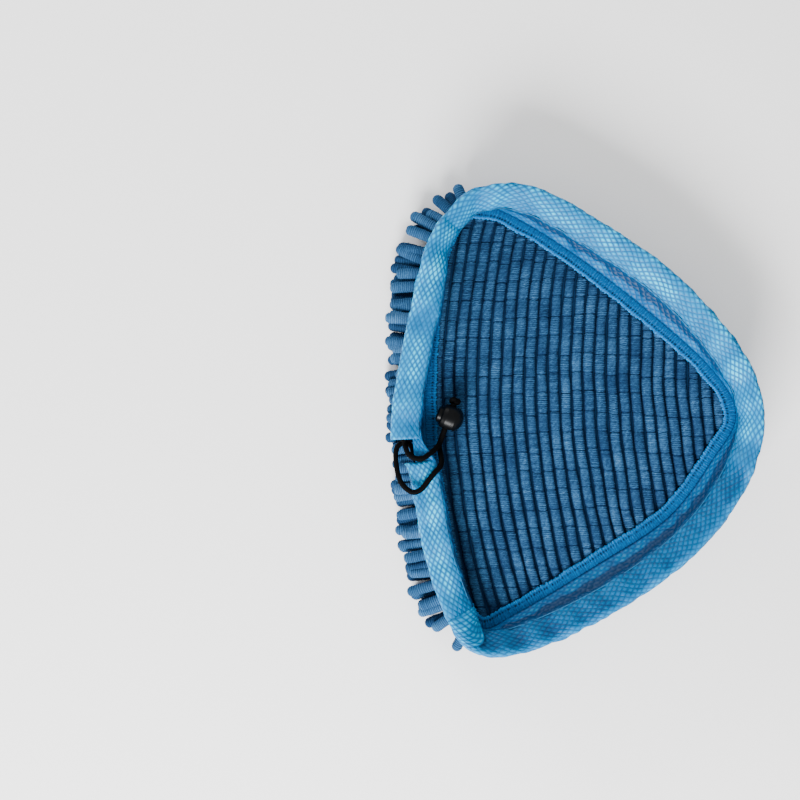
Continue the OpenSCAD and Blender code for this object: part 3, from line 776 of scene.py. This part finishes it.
def strandPart(k, phase):
    low = strandEnd(k, -pad["halfLength"] - 5, pad["strandMargin"])
    high = strandEnd(k, pad["halfLength"] + 5, pad["strandMargin"])
    at, relief = ribbedRun(high - low, chenilleYarn["ribPitch"])
    y = low + at
    fullLow = strandEnd(k, -pad["halfLength"] - 5, pad["seamWidth"] + 0.4)
    fullHigh = strandEnd(k, pad["halfLength"] + 5, pad["seamWidth"] + 0.4)
    free = smoothStep((y - fullLow + 1.2) / 1.2) * smoothStep((fullHigh - y + 1.2) / 1.2)
    pinched = chenilleYarn["pinchedHeight"]
    height = pinched - 0.3 + (chenilleYarn["strandHeight"] - pinched) * free
    shifted = y - phase + 0.7 * ripple(y, k * 40.0, 20, 39)
    toPinch = np.abs((shifted + chenilleYarn["pinchPitch"] / 2) % chenilleYarn["pinchPitch"]
                     - chenilleYarn["pinchPitch"] / 2)
    pinchStrength = 0.65 + 0.35 * ripple(y, k * 40.0, 25, 35)
    pinch = pinchStrength * np.exp(-(toPinch / 0.34) ** 2)
    ribbed = 0.75 + 0.45 * ripple(y, k * 40.0, 16, 36)
    crown = 1 - (1 - toPinch / (chenilleYarn["pinchPitch"] / 2)) ** 4
    sway = 0.45 * ripple(y, k * 7.0, 60, 31) + 0.16 * ripple(y, k * 40.0, 22, 32)
    wide = 1 + 0.05 * ripple(y, k * 40.0, 30, 33)
    steps = np.linspace(math.pi, 0, 13)
    across = np.sign(np.cos(steps)) * np.abs(np.cos(steps)) ** 0.75
    rise = np.abs(np.sin(steps)) ** 0.62
    scale = 1 + 0.065 * relief * ribbed - 0.16 * pinch + 0.03 * crown
    bend = 0.5 * ripple(y, k * 40.0, 18, 34)
    half = chenilleYarn["strandHalf"] * 0.96 * wide * scale
    x = rowX(k, y)[:, None] + sway[:, None] + across[None] * half[:, None]
    z = pad["groundTop"] + rise[None] * (height * scale)[:, None]
    z = z + 0.11 * draws.uniform(-1, 1, z.shape) * rise[None]
    girthAt = 3.2 * across[None] + 9 * k
    yBent = y[:, None] + bend[:, None] * (1 - across[None] ** 2) + 0.22 * ripple(y[:, None], girthAt, 2.6, 40)
    # Painted shade: darker in the rib grooves, in the pinches and down the strand's sides; the ripples and
    # draws are random tone
    tone = 0.34 + 0.24 * relief * ribbed - 0.4 * pinch + 0.06 * draws.uniform(-1, 1, len(y))
    tone = tone + 0.1 * ripple(y, k * 40.0, 30, 37)
    tone = tone[:, None] - 0.6 * (1 - rise[None]) ** 1.3 + 0.16 * draws.uniform(-1, 1, z.shape)
    tone = tone + 0.1 * ripple(y[:, None], girthAt, 3.0, 41)
    return gridPart(np.stack([x, yBent, z], axis=2), around=True, tone=tone, startTip=True, endTip=True)


def fringePlaces():
    # Roots set evenly along the edge where the fringe shows, keyed by the row they are sewn in
    at = np.linspace(10.9, 20.35, 900)
    run = lengthAlong(beside(at % 19, 0, 0))
    count = int(run[-1] / chenilleYarn["fringePitch"])
    rows = {}
    for s in np.interp((np.arange(count) + 0.5) * run[-1] / count, run, at) % 19:
        place = beside(s, -chenilleYarn["fringeRoot"], 0)[0][:2]
        k = int(np.clip(round((place[0] - pad["firstRow"]) / pad["rowPitch"]), 0, 5))
        rows.setdefault(k, []).append(place)
    return rows


def fingerPart(place, outermost=False):
    depth = depths(place)
    nearest = int(np.argmin(depth))
    normal = edgeNormals[nearest]
    depth = depth[nearest]
    fringe = np.interp(lap[nearest], np.arange(20), chenilleYarn["fringeReach"])
    lean = math.radians(76 * min(1, max(0, (19 - depth) / 12.5)) ** 1.5)
    core = chenilleYarn["fingerLength"] - 2 * chenilleYarn["fingerRadius"] - 0.2
    length = min(core / math.cos(lean), core + chenilleYarn["fringeExtra"])
    if depth < chenilleYarn["fringeDepth"] and fringe > 10:
        # Combed out past the mouth on this side: the inner ones come out under the outer ones
        drop = (9.5, 11.5, 12.6)[int(min(depth / 7.2, 2))] + draws.uniform(-1.2, 0.4)
        drop = draws.uniform(3.0, 7.0) if outermost else drop
        across = depth + fringe - chenilleYarn["fingerRadius"] + draws.uniform(-2.5, 1.2)
        lean = math.atan2(across, drop)
        length = math.hypot(across, drop)
    swing = draws.normal(0, 0.1) if lean > 0.3 else draws.normal(0, 0.6)
    lean = lean + draws.normal(0, 0.04)
    c, s = math.cos(swing), math.sin(swing)
    heading = np.array([normal[0] * c - normal[1] * s, normal[0] * s + normal[1] * c])
    root = np.array([place[0], place[1], chenilleYarn["rootHeight"]])
    aim = np.array([heading[0] * math.sin(lean), heading[1] * math.sin(lean), -math.cos(lean)])
    radius = chenilleYarn["fingerRadius"] * draws.uniform(0.95, 1.05)
    radius = radius * 1.08 if fringe > 10 and depth < chenilleYarn["fringeDepth"] else radius
    tip = root + aim * (length + draws.uniform(-1.0, 0.8))
    tip[:2] += draws.normal(0, 0.8, 2)
    tip[2] = max(tip[2], radius + 0.05)
    start = np.array([place[0], place[1], 20.9])
    control = root * 0.62 + tip * 0.38
    control[:2] += draws.normal(0, 0.9, 2)
    control[2] = max(control[2] + draws.normal(0.6, 0.6), radius + 0.1)
    control[2] = min(control[2], 20 - radius)
    t = np.linspace(0, 1, 40)[:, None]
    first = start + (root - start) * np.linspace(0, 1, 8)[:-1, None]
    curve = (1 - t) ** 2 * root + 2 * (1 - t) * t * control + t**2 * tip
    path = np.vstack([first, curve])
    end = path[-1] + unit(path[-1] - path[-2]) * radius
    end[2] = max(end[2], 0.1)
    path = np.vstack([path, end])
    reach = lengthAlong(path)
    at, relief = ribbedRun(reach[-1] - 0.15, 1.2)
    rings = np.column_stack([np.interp(at, reach, path[:, i]) for i in range(3)])
    fromTip = reach[-1] - at
    cap = np.sqrt(np.clip(1 - ((radius - fromTip) / radius).clip(0, 1) ** 2, 0.02, 1))
    neck = 0.5 + 0.5 * smoothStep((at - 0.8) / 3.0)
    body = radius * cap * neck
    sides = chenilleYarn["fingerSides"]
    uneven = 1 + 0.035 * draws.uniform(-1, 1, (len(at), sides))
    radii = body[:, None] * uneven * (1 + 0.075 * relief[:, None])
    # Painted shade: darker in the rib grooves, near the root and on fingers whose tips lie low under others;
    # the rest is random tone
    tone = 0.3 + 0.3 * relief + draws.normal(0, 0.06) + 0.12 * smoothStep(at / 14)
    tone = tone - 0.2 * (1 - smoothStep(at / 5)) - (0.22 if rings[-1][2] < 8 else 0)
    points = tubePoints(rings, radii, sides, draws.uniform(0, 1))
    points[:, :, 2] = np.clip(points[:, :, 2], 0.02, None)
    return gridPart(points, around=True, tone=tone[:, None], startTip=True, endTip=True)


def fingerPlaces(k):
    low = strandEnd(k, -pad["halfLength"] - 5, pad["strandMargin"]) + 2
    high = strandEnd(k, pad["halfLength"] + 5, pad["strandMargin"]) - 2
    count = int(math.floor((high - low) / chenilleYarn["fingerPitch"] + 0.5))
    places = [np.array([rowX(k, y), y]) for y in low + (high - low) * np.arange(count + 1) / count]
    return [p for p in places if depths(p).min() > pad["rootMargin"]]


phase = 0.0
fingerTotal = 0
outermost = fringePlaces()
for k in range(pad["rowCount"]):
    phase += draws.uniform(-1.5, 1.7)
    places = fingerPlaces(k)
    fingerTotal += len(places) + len(outermost.get(k, []))
    parts = [strandPart(k, phase)] + [fingerPart(p) for p in places]
    parts += [fingerPart(p, True) for p in outermost.get(k, [])]
    makePiece(f"chenilleRow{k + 1:02d}", parts, chenille, "mitt", [f"chenille_row_{k + 1:02d}"])
print("chenille fingers", fingerTotal)

print("floor and lights")
floorMaterial, tree = newMaterial("mattPaper")
grain = addNode(tree, "ShaderNodeTexNoise", {"Scale": 900.0, "Detail": 2.0},
                {"Vector": addNode(tree, "ShaderNodeTexCoord").outputs["Object"]})
paper = colourRamp(tree, grain.outputs["Fac"], [(0.0, "#F6F6F6"), (1.0, "#FCFCFC")])
paperBump = addNode(tree, "ShaderNodeBump", {"Strength": 0.05, "Distance": 0.1 * mm},
                    {"Height": grain.outputs["Fac"]})
finishMaterial(tree, paper, paperBump.outputs["Normal"], {"Roughness": 0.9, "Specular IOR Level": 0.1})
floorMesh = bpy.data.meshes.new("floor")
floorCorners = [(x, y, -0.0002) for x, y in ((-3, -3), (3, -3), (3, 3), (-3, 3))]
floorMesh.from_pydata(floorCorners, [], [(0, 1, 2, 3)])
floor = bpy.data.objects.new("floor", floorMesh)
floorMesh.materials.append(floorMaterial)
bpy.context.scene.collection.objects.link(floor)


def softLight(name, location, size, power, colour):
    data = bpy.data.lights.new(name, "AREA")
    data.shape = "RECTANGLE"
    data.size, data.size_y = size
    data.energy = power
    data.color = linearColour(colour)[:3]
    lamp = bpy.data.objects.new(name, data)
    lamp.location = location
    lamp.rotation_euler = (Vector((0, 0, 0.02)) - Vector(location)).to_track_quat("-Z", "Y").to_euler()
    bpy.context.scene.collection.objects.link(lamp)


softLight("nearLight", (-0.45, -1.2, 0.85), (0.9, 0.6), 78, "#FFFFFF")
softLight("farLight", (-0.7, 1.1, 0.45), (0.8, 0.4), 16, "#FFFFFF")
world = bpy.data.worlds.new("studio")
world.use_nodes = True
world.node_tree.nodes["Background"].inputs["Color"].default_value = (1, 1, 1, 1)
world.node_tree.nodes["Background"].inputs["Strength"].default_value = 0.9
bpy.context.scene.world = world
